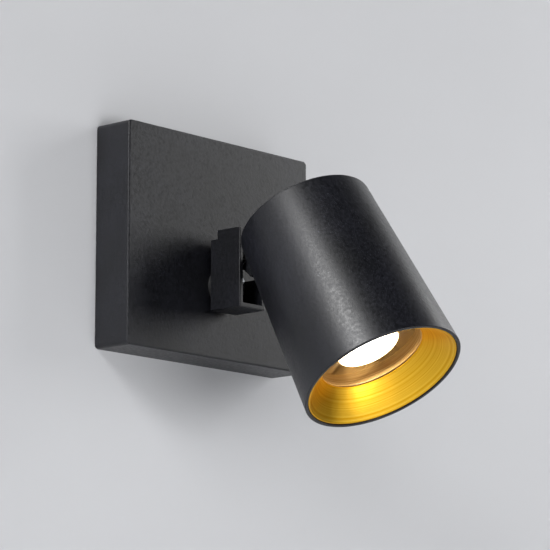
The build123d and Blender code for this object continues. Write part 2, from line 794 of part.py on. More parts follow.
with BuildPart() as holder_screws:
    for y in spread(2, holder_screw_spacing):
        screw_place = head_plane(holder_front - holder_counterbore).from_local_coords((0, y, 0))
        screw_length = holder_length - holder_counterbore + holder_sheet
        slotted_screw(
            Plane(origin=screw_place, x_dir=(1, 0, 0), z_dir=head_dir),
            (holder_screw_thread, screw_length, *holder_screw_head),
        )

with BuildPart() as holder_contacts:
    with BuildSketch(head_plane(key_floor)):
        with PolarLocations(0, 2):
            SlotArc(key_arc, contact_width)
    extrude(amount=contact_thickness)

# ================================================================ lamp, turned to lock in its holder
lamp_radius = lamp_diameter / 2
base_front = lamp_back + base_length + base_shoulder_length
hub_radius = lens_diameter / 2 + hub_wall
with BuildPart() as lamp_base:
    with BuildSketch(head_section):
        with BuildLine():
            Polyline(
                (0, lamp_back),
                (base_diameter / 2, lamp_back),
                (base_diameter / 2, lamp_back + base_length),
                (base_front_diameter / 2, base_front),
                (driver_bore / 2, base_front),
                (driver_bore / 2, lamp_back + base_floor),
                (0, lamp_back + base_floor),
                close=True,
            )
        make_face()
    revolve(axis=head_axis)

with BuildPart() as lamp_pins:
    for x in spread(2, pin_spacing):
        neck_place = head_plane(lamp_back).from_local_coords((x, 0, 0))
        neck_plane = Plane(origin=neck_place, x_dir=(1, 0, 0), z_dir=-head_dir)
        ring_solid(neck_plane, pin_neck, 0, pin_length)
        ring_solid(neck_plane.offset(pin_length), pin_head, 0, -pin_head_length)
    pin_tips = lamp_pins.faces().sort_by(Axis(head_back, head_dir))[0:2]
    fillet(pin_tips.edges(), radius=pin_head / 10)

with BuildPart() as lamp_body:
    bezel_radius = lamp_radius - bezel_thickness
    with BuildSketch(head_section):
        with BuildLine():
            Polyline(
                (driver_bore / 2, base_front),
                (base_front_diameter / 2, base_front),
                (lamp_radius, lamp_front - bezel_straight),
                (lamp_radius, lamp_front - bezel_thickness / 2),
                (lamp_radius - bezel_thickness / 2, lamp_front),
                (bezel_radius, lamp_front - bezel_thickness / 2),
                (bezel_radius, rib_top),
                (lens_diameter / 2, rib_top),
                (lens_diameter / 2, board_back),
                (driver_bore / 2, board_back),
                close=True,
            )
        make_face()
    revolve(axis=head_axis)
    inner_slot = radians(180 / rib_count) * hub_radius - rib_thickness / 2
    outer_slot = radians(180 / rib_count) * bezel_radius - rib_thickness / 2
    with BuildSketch(head_plane(rib_top)):
        with PolarLocations(0, rib_count):
            Polygon(
                (hub_radius, -inner_slot),
                (bezel_radius, -outer_slot),
                (bezel_radius, outer_slot),
                (hub_radius, inner_slot),
                align=None,
            )
    extrude(amount=-rib_depth, mode=Mode.SUBTRACT)

with BuildPart() as driver_board:
    board_width = sqrt(driver_bore**2 - driver_board_thickness**2) - 2 * fit
    with BuildSketch(head_plane(lamp_back + base_floor)):
        Rectangle(board_width, driver_board_thickness)
    extrude(amount=base_front + driver_reach - lamp_back - base_floor)

with BuildPart() as led_board:
    ring_solid(head_plane(board_back), lens_diameter - 2 * fit, 0, board_thickness)
    with BuildSketch(head_plane(board_back + board_thickness)):
        Rectangle(led_size, led_size)
    extrude(amount=board_gap)

with BuildPart() as lamp_lens:
    lens_back = board_back + board_thickness + board_gap
    lens_edge = lens_back + lens_thickness
    with BuildSketch(head_section):
        with BuildLine():
            Polyline(
                (0, lens_edge + lens_crown),
                (0, lens_back),
                (lens_diameter / 2 - fit, lens_back),
                (lens_diameter / 2 - fit, lens_edge),
            )
            crown_top = (0, lens_edge + lens_crown)
            TangentArc(crown_top, (lens_diameter / 2 - fit, lens_edge), tangent=(1, 0))
        make_face()
    revolve(axis=head_axis)

# ================================================================ gold insert, pulled out to change the lamp
with BuildPart() as reflector_cone:
    mouth_radius = inner_radius(skirt_front) - skirt_gap - lip_width
    throat_radius = throat_diameter / 2
    cone_run = skirt_front - throat_run
    cone_rise = mouth_radius - throat_radius
    cone_slant = sqrt(cone_run**2 + cone_rise**2)
    back_radius = throat_radius + insert_sheet * cone_run / cone_slant
    back_run = throat_run - insert_sheet * cone_rise / cone_slant
    # where the back of the cone sheet meets the inside of the skirt
    skirt_inside = inner_radius(skirt_front) - skirt_gap - insert_sheet
    fold_run = back_run + (skirt_inside - back_radius) * cone_run / cone_rise
    with BuildSketch(head_section):
        with BuildLine():
            Polyline(
                (throat_radius, throat_run),
                (mouth_radius, skirt_front),
                (inner_radius(skirt_front) - skirt_gap, skirt_front),
                (inner_radius(skirt_back) - skirt_gap, skirt_back),
                (inner_radius(skirt_back) - skirt_gap - insert_sheet, skirt_back),
                (skirt_inside, fold_run),
                (back_radius, back_run),
                close=True,
            )
        make_face()
    revolve(axis=head_axis)

with BuildPart() as reflector_springs:
    spring_back = skirt_back - spring_reach
    weld_front = skirt_back + skirt_length / 2
    # a flat strip inside a round wall stands off by the height of its arc
    arc_height = spring_width**2 / 8 / inner_radius(spring_back) + fit
    weld_offset = skirt_gap + insert_sheet + arc_height
    touch_run = skirt_back - spring_reach / 2
    for index in range(spring_count):
        turn = radians(spring_turn + index * 360 / spring_count)
        radial = head_plane(0).x_dir * cos(turn) + head_plane(0).y_dir * sin(turn)
        spring_plane = Plane(origin=head_back, x_dir=radial, z_dir=radial.cross(head_dir))
        with BuildSketch(spring_plane):
            with BuildLine():
                Polyline(
                    (inner_radius(weld_front) - weld_offset, weld_front),
                    (inner_radius(skirt_back) - weld_offset, skirt_back),
                    (inner_radius(touch_run) - arc_height, touch_run),
                    (inner_radius(spring_back) - weld_offset, spring_back),
                    (inner_radius(spring_back) - weld_offset - spring_thickness, spring_back),
                    (inner_radius(touch_run) - arc_height - spring_thickness, touch_run),
                    (inner_radius(skirt_back) - weld_offset - spring_thickness, skirt_back),
                    (inner_radius(weld_front) - weld_offset - spring_thickness, weld_front),
                    close=True,
                )
            make_face()
        extrude(amount=spring_width / 2, both=True)

# ================================================================ labels and files
pieces = {
    "wall_cover": wall_cover,
    "cover_pins": cover_pins,
    "cover_screws": cover_screws,
    "mounting_strap": mounting_strap,
    "cable_bush": cable_bush,
    "terminal_block": terminal_block,
    "terminal_sleeves": terminal_sleeves,
    "clamp_screws": clamp_screws,
    "block_screw": block_screw,
    "earth_tag": earth_tag,
    "earth_screw": earth_screw,
    "swivel_washer": swivel_washer,
    "stop_stud": stop_stud,
    "bracket_foot": bracket_foot,
    "hinge_bracket": hinge_bracket,
    "foot_dowels": foot_dowels,
    "swivel_nipple": swivel_nipple,
    "spring_washer": spring_washer,
    "stop_washer": stop_washer,
    "swivel_locknut": swivel_locknut,
    "pivot_screw": pivot_screw,
    "wave_washer": wave_washer,
    "pivot_washers": pivot_washers,
    "knuckle": knuckle,
    "saddle_screws": saddle_screws,
    "head_shell": head_shell,
    "lead_bush": lead_bush,
    "back_cap": back_cap,
    "cap_screws": cap_screws,
    "holder_bracket": holder_bracket,
    "bracket_screws": bracket_screws,
    "lamp_holder": lamp_holder,
    "holder_screws": holder_screws,
    "holder_contacts": holder_contacts,
    "lamp_base": lamp_base,
    "lamp_pins": lamp_pins,
    "lamp_body": lamp_body,
    "driver_board": driver_board,
    "led_board": led_board,
    "lamp_lens": lamp_lens,
    "reflector_cone": reflector_cone,
    "reflector_springs": reflector_springs,
}
os.makedirs("parts", exist_ok=True)
for name, piece in pieces.items():
    piece.part.label = name
    export_step(piece.part, f"parts/{name}.step")
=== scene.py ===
"""Looks of a pivoting spotlight wall light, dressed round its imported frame.

The light's lengths are millimetres, as on a maker's drawing; meshes and the studio are in metres.
"""

import json
import logging
import math
from dataclasses import dataclass
from enum import Enum

import bmesh
import bpy
from mathutils import Matrix, Vector


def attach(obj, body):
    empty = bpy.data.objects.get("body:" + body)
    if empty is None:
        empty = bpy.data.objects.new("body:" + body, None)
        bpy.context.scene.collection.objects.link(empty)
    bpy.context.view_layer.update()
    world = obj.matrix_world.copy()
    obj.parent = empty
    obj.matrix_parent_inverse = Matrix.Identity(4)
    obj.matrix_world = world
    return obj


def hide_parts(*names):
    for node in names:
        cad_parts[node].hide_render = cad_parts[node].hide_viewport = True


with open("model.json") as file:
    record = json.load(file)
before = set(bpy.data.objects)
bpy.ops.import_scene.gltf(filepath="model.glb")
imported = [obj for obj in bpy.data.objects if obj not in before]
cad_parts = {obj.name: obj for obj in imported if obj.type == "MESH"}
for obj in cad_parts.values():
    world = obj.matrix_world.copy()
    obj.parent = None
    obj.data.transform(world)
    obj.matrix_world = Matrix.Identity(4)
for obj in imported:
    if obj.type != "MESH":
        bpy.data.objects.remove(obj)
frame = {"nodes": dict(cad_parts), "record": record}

LOG = logging.getLogger("wall_spotlight")
MM = 0.001
CREASE_DEG = 32.0                     # an edge that turns by more stays sharp
FLAT_DEG = 0.5                        # neighbours that turn by less are one face
MERGE = 1e-6                          # points nearer than this are one point, in metres
NOISE_SPAN = (0.3, 0.7)               # where nearly all of a noise's values lie
MIX_A, MIX_B, MIX_RESULT = 6, 7, 2    # colour sockets of a Mix node
Tree = bpy.types.NodeTree
Socket = bpy.types.NodeSocket
Finishes = dict[str, bpy.types.Material]


class Body(Enum):
    """Moving bodies of the light, named as the frame names them."""

    BASE = "base"
    SWIVEL = "swivel"
    HEAD = "head"
    LAMP = "lamp"
    INSERT = "insert"


# ------------------------------ shared places of the light


@dataclass(frozen=True)
class TurnAxis:
    """A lathe axis in the frame: a point on it, in metres, and its unit direction."""

    point: Vector
    direction: Vector

    def matrix(self) -> Matrix:
        """Find the placement that takes local Z to the axis and local X to the frame's X.

        Returns:
            The placement.
        """
        across = Vector((1, 0, 0))
        up = self.direction.cross(across)
        turn = Matrix((across, up, self.direction)).transposed().to_4x4()
        return Matrix.Translation(self.point) @ turn

    def shifted(self, run: float) -> Matrix:
        """Find the placement of a part that sits some way along the axis.

        Args:
            run: Millimetres along the axis.

        Returns:
            The placement.
        """
        return self.matrix() @ Matrix.Translation((0, 0, run * MM))


PIVOT = Vector((0.0, -34.3, -5.0))
HEAD_TILT = math.radians(59.5)       # below level, as photographed
HEAD_BACK = 8.0                      # from the pivot forward to the head's back end
HEAD_OFFSET = 37.5                   # from the pivot across to the head's axis
HEAD_RUN = Vector((0.0, -math.cos(HEAD_TILT), -math.sin(HEAD_TILT)))
HEAD_SIDE = Vector((0.0, math.sin(HEAD_TILT), -math.cos(HEAD_TILT)))
HEAD_AXIS = TurnAxis((PIVOT + HEAD_RUN * HEAD_BACK - HEAD_SIDE * HEAD_OFFSET) * MM, HEAD_RUN)
LENS_RUN = 71.0                      # middle of the lamp's lens, from the head's back end
LENS_RADIUS = 14.0
SLOT_OF = {row["node"]: row["material_slot"] for row in frame["record"]["subparts"]}


# ------------------------------ shader helpers


def linear(code: str) -> tuple[float, float, float, float]:
    """Turn an sRGB hex colour into linear RGBA.

    Args:
        code: A colour such as "#d9a01e".

    Returns:
        Linear red, green and blue with an alpha of 1.
    """
    channels = [int(code[i:i + 2], 16) / 255 for i in (1, 3, 5)]
    return (*[c / 12.92 if c <= 0.04045 else ((c + 0.055) / 1.055) ** 2.4 for c in channels], 1.0)


def add(tree: Tree, kind: str, inputs: dict | None = None, **settings) -> bpy.types.Node:
    """Add one node, with its settings, values and links.

    Args:
        tree: The node tree that gets the node.
        kind: Blender's type name of the node.
        inputs: Socket name or number to a value or to the socket that feeds it.
        **settings: Attributes of the node itself.

    Returns:
        The new node.
    """
    node = tree.nodes.new(kind)
    for name, value in settings.items():
        setattr(node, name, value)
    for key, value in (inputs or {}).items():
        if isinstance(value, Socket):
            tree.links.new(value, node.inputs[key])
        else:
            node.inputs[key].default_value = value
    return node


def blank(name: str) -> tuple[bpy.types.Material, Tree, bpy.types.Node]:
    """Start a material that has only a Principled shader.

    Args:
        name: The finish's name.

    Returns:
        The material, its node tree and its shader.
    """
    material = bpy.data.materials.new(name)
    material.use_nodes = True
    return material, material.node_tree, material.node_tree.nodes["Principled BSDF"]


def maths(tree: Tree, operation: str, first: object, second: object) -> Socket:
    """Add one sum.

    Args:
        tree: The node tree.
        operation: Blender's name of the sum.
        first: A number or the socket that feeds it.
        second: The same, for the sum's other side.

    Returns:
        The result's socket.
    """
    return add(tree, "ShaderNodeMath", {0: first, 1: second}, operation=operation).outputs[0]


def vector_maths(
    tree: Tree, operation: str, first: object, second: object
) -> bpy.types.bpy_prop_collection:
    """Add one sum of vectors.

    Args:
        tree: The node tree.
        operation: Blender's name of the sum.
        first: A vector or the socket that feeds it.
        second: The same, for the sum's other side.

    Returns:
        The node's outputs, Vector and Value.
    """
    return add(tree, "ShaderNodeVectorMath", {0: first, 1: second}, operation=operation).outputs


def object_place(tree: Tree) -> Socket:
    """Read the place on the object, so that patterns keep their real size.

    Args:
        tree: The node tree.

    Returns:
        The Object coordinates' socket.
    """
    return add(tree, "ShaderNodeTexCoord").outputs["Object"]


def object_noise(tree: Tree, size_mm: float, detail: float = 2.0) -> Socket:
    """Add a noise on Object coordinates whose features have a real size.

    Args:
        tree: The node tree that gets the noise.
        size_mm: Width of one feature.
        detail: Number of finer layers.

    Returns:
        The noise's value.
    """
    inputs = {"Vector": object_place(tree), "Scale": 1 / (size_mm * MM), "Detail": detail}
    return add(tree, "ShaderNodeTexNoise", inputs).outputs["Fac"]


def set_range(
    tree: Tree,
    source: Socket,
    span: tuple[float, float] = NOISE_SPAN,
    result: tuple[float, float] = (0.0, 1.0),
) -> Socket:
    """Map a value from one range to another.

    Args:
        tree: The node tree.
        source: The value.
        span: Range that the value has.
        result: Range that it gets.

    Returns:
        The mapped value's socket.
    """
    limits = dict(zip(("From Min", "From Max", "To Min", "To Max"), (*span, *result)))
    return add(tree, "ShaderNodeMapRange", {"Value": source, **limits}).outputs["Result"]


def tint(tree: Tree, factor: Socket, dark: str, light: str) -> Socket:
    """Mix two colours by a factor.

    Args:
        tree: The node tree.
        factor: The mix, 0 for dark and 1 for light.
        dark: Hex colour at 0.
        light: Hex colour at 1.

    Returns:
        The mixed colour's socket.
    """
    inputs = {"Factor": factor, MIX_A: linear(dark), MIX_B: linear(light)}
    return add(tree, "ShaderNodeMix", inputs, data_type="RGBA").outputs[MIX_RESULT]


def colour_by(
    tree: Tree,
    shader: bpy.types.Node,
    source: Socket,
    colours: tuple[str, str],
    span: tuple[float, float] = NOISE_SPAN,
) -> None:
    """Let a pattern choose the base colour between two colours.

    Args:
        tree: The node tree.
        shader: The Principled shader.
        source: The pattern.
        colours: Hex colours at the low and the high end of the pattern.
        span: Range of the pattern that is used.
    """
    tree.links.new(tint(tree, set_range(tree, source, span), *colours), shader.inputs["Base Color"])


def gloss_by(
    tree: Tree,
    shader: bpy.types.Node,
    source: Socket,
    roughness: tuple[float, float],
) -> None:
    """Let a noise choose the roughness.

    Args:
        tree: The node tree.
        shader: The Principled shader.
        source: The noise.
        roughness: Roughness at the noise's low and high end.
    """
    tree.links.new(set_range(tree, source, result=roughness), shader.inputs["Roughness"])


def relief(
    tree: Tree, shader: bpy.types.Node, height: Socket, depth_mm: float, strength: float
) -> None:
    """Feed a height into the shader's normal.

    Args:
        tree: The node tree.
        shader: The Principled shader.
        height: Height from 0 to 1.
        depth_mm: Height of the relief.
        strength: Share of the relief that shows.
    """
    bump = add(tree, "ShaderNodeBump", {"Height": height, "Distance": depth_mm * MM, "Strength": strength})
    tree.links.new(bump.outputs["Normal"], shader.inputs["Normal"])


# ------------------------------ finishes


@dataclass(frozen=True)
class PowderCoat:
    """Baked powder coat: a satin film with a fine pebbled skin that breaks up reflections."""

    name: str = "powder_coat_satin_black"
    dark: str = "#07080c"
    light: str = "#17181f"
    grain_mm: float = 1.4        # real grit is about 0.3 mm; drawn coarser, so that it shows
    grain_depth_mm: float = 0.07
    grain_strength: float = 0.5
    cloud_mm: float = 26.0
    mottle_span: tuple[float, float] = (0.12, 0.42)
    roughness: tuple[float, float] = (0.35, 0.47)

    def build(self) -> bpy.types.Material:
        """Make the material.

        Returns:
            The material.
        """
        material, tree, shader = blank(self.name)
        grain = object_noise(tree, self.grain_mm, 3.0)
        mottle = maths(tree, "MULTIPLY", grain, object_noise(tree, self.cloud_mm))
        colour_by(tree, shader, mottle, (self.dark, self.light), self.mottle_span)
        gloss_by(tree, shader, grain, self.roughness)
        relief(tree, shader, grain, self.grain_depth_mm, self.grain_strength)
        return material


@dataclass(frozen=True)
class Plate:
    """Electroplated or bare metal: bright, with a faint cloudy passivation."""

    name: str
    dark: str
    light: str
    roughness: float
    metallic: float = 1.0
    cloud_mm: float = 3.0
    cloud_depth_mm: float = 0.003
    cloud_strength: float = 0.2
    cloud_span: tuple[float, float] = (0.35, 0.65)
    gloss_swing: tuple[float, float] = (0.85, 1.2)     # times the roughness

    def build(self) -> bpy.types.Material:
        """Make the material.

        Returns:
            The material.
        """
        material, tree, shader = blank(self.name)
        shader.inputs["Metallic"].default_value = self.metallic
        cloud = object_noise(tree, self.cloud_mm, 4.0)
        colour_by(tree, shader, cloud, (self.dark, self.light), self.cloud_span)
        low, high = self.gloss_swing
        gloss_by(tree, shader, cloud, (self.roughness * low, self.roughness * high))
        relief(tree, shader, cloud, self.cloud_depth_mm, self.cloud_strength)
        return material


@dataclass(frozen=True)
class Moulded:
    """Moulded plastic, rubber or pressed ceramic: even colour, soft gloss, a very fine skin."""

    name: str
    dark: str
    light: str
    roughness: float
    skin_mm: float = 0.8
    skin_depth_mm: float = 0.01
    skin_strength: float = 0.4

    def build(self) -> bpy.types.Material:
        """Make the material.

        Returns:
            The material.
        """
        material, tree, shader = blank(self.name)
        skin = object_noise(tree, self.skin_mm)
        colour_by(tree, shader, skin, (self.dark, self.light))
        shader.inputs["Roughness"].default_value = self.roughness
        relief(tree, shader, skin, self.skin_depth_mm, self.skin_strength)
        return material


@dataclass(frozen=True)
class SpunMetal:
    """Anodised aluminium turned on a lathe: rings round the head's axis give it a silky, streaked gloss."""

    name: str
    dark: str
    light: str
    roughness: float
    ring_mm: float
    axis: TurnAxis = HEAD_AXIS
    ring_depth_mm: float = 0.002
    ring_strength: float = 0.3
    cloud_mm: float = 9.0
    gloss_swing: tuple[float, float] = (-0.03, 0.04)   # added to the roughness
    anisotropy: float = 0.6

    def build(self) -> bpy.types.Material:
        """Make the material.

        Returns:
            The material.
        """
        material, tree, shader = blank(self.name)
        shader.inputs["Metallic"].default_value = 1.0
        point, direction = tuple(self.axis.point), tuple(self.axis.direction)
        offset = vector_maths(tree, "SUBTRACT", object_place(tree), point)["Vector"]
        run = vector_maths(tree, "DOT_PRODUCT", offset, direction)["Value"]
        rings = add(
            tree,
            "ShaderNodeTexNoise",
            {"W": run, "Scale": 1 / (self.ring_mm * MM), "Detail": 2.0},
            noise_dimensions="1D",
        ).outputs["Fac"]
        colour_by(tree, shader, rings, (self.dark, self.light))
        low, high = self.gloss_swing
        cloud = object_noise(tree, self.cloud_mm)
        gloss_by(tree, shader, cloud, (self.roughness + low, self.roughness + high))
        relief(tree, shader, rings, self.ring_depth_mm, self.ring_strength)
        # the turning marks run round the axis, so the gloss is drawn out across them
        shader.inputs["Anisotropic"].default_value = self.anisotropy
        along = vector_maths(tree, "CROSS_PRODUCT", direction, offset)["Vector"]
        in_world = add(
            tree,
            "ShaderNodeVectorTransform",
            {0: along},
            vector_type="VECTOR",
            convert_from="OBJECT",
            convert_to="WORLD",
        )
        tree.links.new(in_world.outputs[0], shader.inputs["Tangent"])
        return material


@dataclass(frozen=True)
class CircuitBoard:
    """Glass-fibre board under solder mask: copper tracks show as a lighter pattern under the lacquer."""

    name: str = "circuit_board_green"
    mask: str = "#0f4a2c"
    track: str = "#2b7d49"
    cell_mm: float = 12.8
    roughness: float = 0.3
    lacquer: float = 0.5

    def build(self) -> bpy.types.Material:
        """Make the material.

        Returns:
            The material.
        """
        material, tree, shader = blank(self.name)
        mask = linear(self.mask)
        cells = add(
            tree,
            "ShaderNodeTexBrick",
            {
                "Vector": object_place(tree),
                "Scale": 1 / (self.cell_mm * MM),
                "Color1": mask,
                "Color2": mask,
                "Mortar": linear(self.track),
            },
        )
        tree.links.new(cells.outputs["Color"], shader.inputs["Base Color"])
        shader.inputs["Roughness"].default_value = self.roughness
        shader.inputs["Coat Weight"].default_value = self.lacquer
        return material


@dataclass(frozen=True)
class LitLens:
    """Moulded diffusing lens with light behind it: near white in the middle, warmer towards its edge."""

    name: str
    core: str
    edge: str
    strength: float
    core_share: float = 0.45          # of the radius, before the colour starts to turn
    roughness: float = 0.35

    def build(self) -> bpy.types.Material:
        """Make the material.

        Returns:
            The material.
        """
        material, tree, shader = blank(self.name)
        centre = tuple(HEAD_AXIS.shifted(LENS_RUN).translation)
        away = vector_maths(tree, "DISTANCE", object_place(tree), centre)["Value"]
        reach = LENS_RADIUS * MM
        glow = tint(tree, set_range(tree, away, (self.core_share * reach, reach)), self.core, self.edge)
        tree.links.new(glow, shader.inputs["Base Color"])
        tree.links.new(glow, shader.inputs["Emission Color"])
        shader.inputs["Emission Strength"].default_value = self.strength
        shader.inputs["Roughness"].default_value = self.roughness
        return material


# ------------------------------ mesh helpers


def rounded(points: list[tuple[float, float, float]], steps: int = 6) -> list[tuple[float, float]]:
    """Round the corners of an outline.

    Args:
        points: Corners as (radius, run, rounding), in order; a rounding of 0 keeps the corner.
        steps: Segments in each rounding.

    Returns:
        The outline's points as (radius, run).
    """
    outline: list[tuple[float, float]] = []
    count = len(points)
    for index, (x, y, rounding) in enumerate(points):
        corner = Vector((x, y))
        before = Vector(points[(index - 1) % count][:2]) - corner
        after = Vector(points[(index + 1) % count][:2]) - corner
        if rounding <= 0 or before.length == 0 or after.length == 0:
            outline.append((x, y))
            continue
        half = before.angle(after) / 2
        most = 0.49 * min(before.length, after.length)      # so that two roundings fit on one edge
        setback = min(rounding / math.tan(half), most)
        radius = setback * math.tan(half)
        centre = corner + (before.normalized() + after.normalized()).normalized() * (radius / math.sin(half))
        start = corner + before.normalized() * setback - centre
        end = corner + after.normalized() * setback - centre
        sweep = start.angle_signed(end)
        for step in range(steps + 1):
            outline.append(tuple(centre + Matrix.Rotation(-sweep * step / steps, 2) @ start))
    return outline


def link(name: str, mesh: bpy.types.Mesh, material: bpy.types.Material) -> bpy.types.Object:
    """Make an object of a mesh, with one material, in the scene.

    Args:
        name: Name of the piece.
        mesh: Its mesh, in place.
        material: Its finish.

    Returns:
        The object.
    """
    mesh.materials.clear()
    mesh.materials.append(material)
    piece = bpy.data.objects.new(name, mesh)
    bpy.context.scene.collection.objects.link(piece)
    return piece


def smooth(mesh: bpy.types.Mesh) -> None:
    """Shade a mesh smooth, with its creases kept sharp.

    Args:
        mesh: The mesh.
    """
    mesh.shade_smooth()
    mesh.set_sharp_from_angle(angle=math.radians(CREASE_DEG))


def turned(
    name: str,
    outline: list[tuple[float, float]],
    axis: TurnAxis,
    material: bpy.types.Material,
    sides: int,
) -> bpy.types.Object:
    """Turn a closed outline round an axis, as on a lathe.

    Args:
        name: Name of the piece.
        outline: Closed outline as (radius, run) in millimetres.
        axis: The axis.
        material: The piece's finish.
        sides: Number of steps round the axis.

    Returns:
        The piece.
    """
    shape = bmesh.new()
    rings = []
    for radius, run in outline:
        if radius == 0:
            rings.append([shape.verts.new((0, 0, run * MM))] * sides)
            continue
        ring = []
        for step in range(sides):
            angle = 2 * math.pi * step / sides
            x, y = radius * MM * math.cos(angle), radius * MM * math.sin(angle)
            ring.append(shape.verts.new((x, y, run * MM)))
        rings.append(ring)
    for first, second in zip(rings, rings[1:] + rings[:1]):
        for step in range(sides):
            after = (step + 1) % sides
            corners = [first[step], first[after], second[after], second[step]]
            unique = list(dict.fromkeys(corners))
            if len(unique) > 2:
                shape.faces.new(unique)
    bmesh.ops.recalc_face_normals(shape, faces=shape.faces)
    mesh = bpy.data.meshes.new(name)
    shape.to_mesh(mesh)
    shape.free()
    mesh.transform(axis.matrix())
    smooth(mesh)
    return link(name, mesh, material)


def grown(
    name: str,
    tree: Tree,
    values: dict[str, object],
    carrier: bpy.types.Mesh,
    placement: Matrix,
    material: bpy.types.Material,
) -> bpy.types.Object:
    """Run a Geometry Nodes tree on a carrier mesh and keep its result as a plain mesh.

    Args:
        name: Name of the piece.
        tree: The tree, whose last nodes realize the copies and set the material.
        values: Input name to value.
        carrier: Mesh that the tree starts from.
        placement: Where the result goes in the frame.
        material: The piece's finish.

    Returns:
        The piece.
    """
    host = bpy.data.objects.new(name + "_host", carrier)
    bpy.context.scene.collection.objects.link(host)
    modifier = host.modifiers.new("grow", "NODES")
    modifier.node_group = tree
    identifiers = {i.name: i.identifier for i in tree.interface.items_tree if i.in_out == "INPUT"}
    for key, value in values.items():
        modifier[identifiers[key]] = value
    evaluated = host.evaluated_get(bpy.context.evaluated_depsgraph_get())
    mesh = bpy.data.meshes.new_from_object(evaluated)
    host.modifiers.remove(modifier)
    bpy.data.objects.remove(host)
    mesh.name = name
    mesh.transform(placement)
    smooth(mesh)
    return link(name, mesh, material)


def tree_with_inputs(
    name: str, inputs: dict[str, str]
) -> tuple[Tree, bpy.types.Node, bpy.types.Node]:
    """Start a Geometry Nodes tree.

    Args:
        name: Name of the tree.
        inputs: Input name to socket type, besides the geometry.

    Returns:
        The tree, its input node and its output node.
    """
    tree = bpy.data.node_groups.new(name, "GeometryNodeTree")
    tree.interface.new_socket("Geometry", in_out="INPUT", socket_type="NodeSocketGeometry")
    for key, kind in inputs.items():
        tree.interface.new_socket(key, in_out="INPUT", socket_type=kind)
    tree.interface.new_socket("Geometry", in_out="OUTPUT", socket_type="NodeSocketGeometry")
    return tree, tree.nodes.new("NodeGroupInput"), tree.nodes.new("NodeGroupOutput")


def finish_tree(
    tree: Tree, result: Socket, given: bpy.types.Node, output: bpy.types.Node
) -> None:
    """End a tree in Realize Instances and Set Material.

    Args:
        tree: The tree.
        result: Geometry that the tree has made.
        given: The tree's input node, which has a Material input.
        output: The tree's output node.
    """
    real = add(tree, "GeometryNodeRealizeInstances", {"Geometry": result})
    dressed = add(
        tree,
        "GeometryNodeSetMaterial",
        {"Geometry": real.outputs[0], "Material": given.outputs["Material"]},
    )
    tree.links.new(dressed.outputs[0], output.inputs[0])


def points_mesh(name: str, places: list[tuple[float, float]]) -> bpy.types.Mesh:
    """Make a mesh of loose points in the local XY plane.

    Args:
        name: Name of the mesh.
        places: Points in millimetres.

    Returns:
        The mesh.
    """
    mesh = bpy.data.meshes.new(name)
    mesh.from_pydata([(x * MM, y * MM, 0.0) for x, y in places], [], [])
    return mesh


def finishes() -> Finishes:
    """Make every finish once.

    Returns:
        Record slot name to material.
    """
    coat = PowderCoat().build()
    return {
        "black_steel": coat,
        "black_zinc": coat,
        "black_aluminium": coat,
        # phosphated screw steel: dull dark grey, a little cloudy
        "black_screw": Plate("blackened_steel", "#161618", "#2a2a2d", 0.42, 0.6).build(),
        # clear zinc plate: cold grey with a cloudy passivation
        "plated_steel": Plate("clear_zinc_plate", "#8f9398", "#a1a5a9", 0.4).build(),
        # polished nickel: slightly yellow and the brightest of the platings
        "nickel_pin": Plate("nickel_plate", "#b9b3a6", "#d8d2c4", 0.2).build(),
        # drawn brass, neither lacquered nor tarnished
        "brass": Plate("bare_brass", "#b8893b", "#dbb564", 0.25).build(),
        # vulcanised rubber: deep matt black
        "black_rubber": Moulded("black_rubber", "#141414", "#1e1e1e", 0.75).build(),
        # glass-filled nylon: black with a half-matt skin
        "nylon": Moulded("black_nylon", "#1a1a1b", "#262627", 0.5).build(),
        # moulded terminal plastic: a little warm, even and softly glossy
        "white_plastic": Moulded("white_moulded_plastic", "#d9d8d2", "#e6e5df", 0.45).build(),
        # dry-pressed steatite: warm white, matt and slightly chalky
        "white_ceramic": Moulded("pressed_steatite", "#d6d0bf", "#e6e1d2", 0.6, 1.2, 0.03).build(),
        # turned and anodised heat sink: pale champagne, streaked round the lamp
        "bronze_aluminium": SpunMetal("champagne_bronze_anodised", "#d2b07c", "#ecd3a4", 0.34, 0.9).build(),
        "circuit_board": CircuitBoard().build(),
        # white solder mask of the board that carries the LEDs
        "white_board": Moulded("white_solder_mask", "#dddcd6", "#efeee9", 0.4).build(),
        # satin gold anodising on a spun cone: deep yellow, it takes the lamp's glow
        "gold_aluminium": SpunMetal("satin_gold_anodised", "#e2a61a", "#f4c642", 0.38, 0.7).build(),
        "frosted_lens": LitLens("frosted_lens_lit", "#fffdf6", "#ffe6b0", 6.5).build(),
    }


def dress(piece: bpy.types.Object, body: Body, slot: str, *nodes: str) -> bpy.types.Object:
    """Hand a finished piece to the frame.

    Args:
        piece: The piece.
        body: Body that it moves with.
        slot: The record's material slot; not used.
        *nodes: CAD nodes that it stands for.

    Returns:
        The piece.
    """
    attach(piece, body.value)
    if nodes:
        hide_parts(*nodes)
    LOG.info("%s rides on %s, %d faces", piece.name, body.value, len(piece.data.polygons))
    return piece


